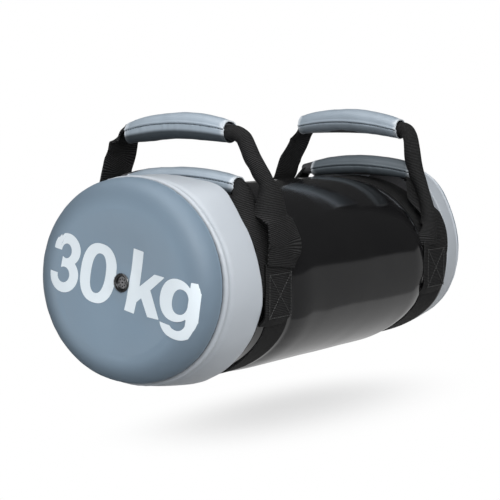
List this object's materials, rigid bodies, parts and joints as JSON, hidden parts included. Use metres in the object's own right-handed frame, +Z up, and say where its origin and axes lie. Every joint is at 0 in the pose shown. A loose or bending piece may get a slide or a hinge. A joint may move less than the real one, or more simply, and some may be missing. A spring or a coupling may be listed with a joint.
{
  "type": "sandbag trainer",
  "caption": "Round padded training bag lying on its side, with grey vinyl ends, a black sleeve, girth straps, upright carry handles and low handles.",
  "frame": {"origin": "middle of the bag's length and width, at the floor that it lies on", "axes": "+X along the bag from its marked end to its plain end, +Y to its left, +Z up"},
  "size_m": [0.561, 0.2468, 0.2845],
  "materials": {
    "blue_grey_vinyl": "satin coated vinyl with a fine grain",
    "grey_vinyl": "satin coated vinyl with a fine grain",
    "black_vinyl": "glossy vinyl with a fine woven emboss",
    "webbing": "ribbed polyester webbing",
    "foam": "matte closed-cell foam",
    "liner": "coated liner cloth",
    "sand": "dry sand",
    "vent_metal": "polished plating"
  },
  "bodies": {
    "bag": {"sand_fill": "sand", "sand_liner": "liner", "liner_end_front": "liner", "liner_end_rear": "liner", "foam_wrap": "foam", "foam_end_front": "foam", "foam_end_rear": "foam", "body_sleeve": "black_vinyl", "end_band_front": "grey_vinyl", "end_band_rear": "grey_vinyl", "end_cap_front": "blue_grey_vinyl", "end_cap_rear": "blue_grey_vinyl", "vent_eyelet": "vent_metal", "vent_washer": "vent_metal", "vent_screen": "vent_metal", "girth_strap_front": "webbing", "girth_strap_rear": "webbing", "handle_patch_front_left": "webbing", "handle_patch_front_right": "webbing", "handle_patch_rear_left": "webbing", "handle_patch_rear_right": "webbing"},
    "front_carry_handle": {"front_carry_handle_webbing": "webbing", "front_carry_handle_cover": "blue_grey_vinyl", "front_carry_handle_foam": "foam"},
    "front_low_handle": {"front_low_handle_webbing": "webbing", "front_low_handle_cover": "blue_grey_vinyl", "front_low_handle_foam": "foam"},
    "rear_carry_handle": {"rear_carry_handle_webbing": "webbing", "rear_carry_handle_cover": "blue_grey_vinyl", "rear_carry_handle_foam": "foam"},
    "rear_low_handle": {"rear_low_handle_webbing": "webbing", "rear_low_handle_cover": "blue_grey_vinyl", "rear_low_handle_foam": "foam"}
  },
  "joints": [
    {"name": "front_carry_swing", "type": "hinge", "parent": "bag", "child": "front_carry_handle", "pos_m": [-0.169, 0, 0.15], "axis": [0, 1, 0], "range_deg": [-40, 56]},
    {"name": "front_low_lift", "type": "hinge", "parent": "bag", "child": "front_low_handle", "pos_m": [-0.173, 0, 0.125], "axis": [0, 1, 0], "range_deg": [0, 14]},
    {"name": "rear_carry_swing", "type": "hinge", "parent": "bag", "child": "rear_carry_handle", "pos_m": [0.169, 0, 0.15], "axis": [0, -1, 0], "range_deg": [-40, 56]},
    {"name": "rear_low_lift", "type": "hinge", "parent": "bag", "child": "rear_low_handle", "pos_m": [0.173, 0, 0.125], "axis": [0, -1, 0], "range_deg": [0, 14]}
  ]
}
